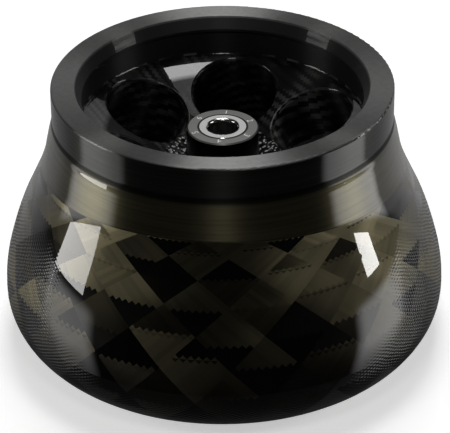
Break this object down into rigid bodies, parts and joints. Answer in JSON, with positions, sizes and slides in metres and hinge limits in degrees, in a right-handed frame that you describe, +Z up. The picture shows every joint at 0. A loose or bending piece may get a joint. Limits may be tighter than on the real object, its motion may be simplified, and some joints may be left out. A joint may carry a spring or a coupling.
{
  "type": "fixed angle rotor",
  "caption": "Carbon fibre fixed angle centrifuge rotor with leaning round-bottomed tube cavities round a numbered hub post, shown without its lid.",
  "frame": {"origin": "middle of the flat base, on the spin axis", "axes": "+Z up along the spin axis, +Y through cavity 1; the cavities are numbered clockwise as seen from above"},
  "size_m": [0.2148, 0.2148, 0.137],
  "materials": {
    "carbon_body": "wound carbon fibre under clear glossy epoxy",
    "carbon_plate": "satin carbon fibre laminate",
    "black_aluminium": "dark hard anodised, satin",
    "hub_aluminium": "turned and clear anodised",
    "polished_steel": "polished stainless steel",
    "magnet_nickel": "nickel-plated",
    "black_rubber": "matte black nitrile rubber"
  },
  "bodies": {
    "root": {"rotor_body": "carbon_body", "pressure_plate": "carbon_plate", "hub_post": "black_aluminium", "centre_bush": "polished_steel", "post_seal": "black_rubber", "bush_seal": "black_rubber", "drive_hub": "hub_aluminium", "hub_screws": "polished_steel", "drive_pin_1": "polished_steel", "drive_pin_2": "polished_steel", "id_magnet_1": "magnet_nickel", "id_magnet_2": "magnet_nickel", "id_magnet_3": "magnet_nickel", "id_magnet_4": "magnet_nickel", "id_magnet_5": "magnet_nickel", "id_magnet_6": "magnet_nickel"}
  },
  "joints": []
}
